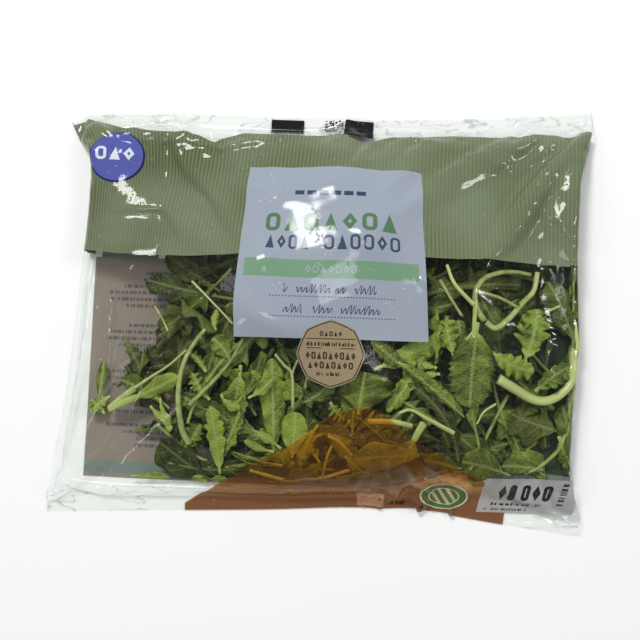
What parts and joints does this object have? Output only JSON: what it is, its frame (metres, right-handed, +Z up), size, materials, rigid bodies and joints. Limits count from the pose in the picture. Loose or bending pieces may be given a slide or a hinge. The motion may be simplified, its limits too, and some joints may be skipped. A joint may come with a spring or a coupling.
{
  "type": "bag of salad leaves",
  "caption": "Clear printed pillow bag of loose salad leaves, lying on its back, sealed flat across its top and bottom ends.",
  "frame": {"origin": "bottom centre of the bounding box, on the surface that the bag lies on", "axes": "+X across the bag, to the right of its print; +Y from the bottom seal to the top seal; +Z up, out of its printed front"},
  "size_m": [0.2492, 0.1886, 0.0354],
  "materials": {
    "pack": "clear glossy film over green leaves"
  },
  "bodies": {
    "root": {"bag": "pack"}
  },
  "joints": []
}
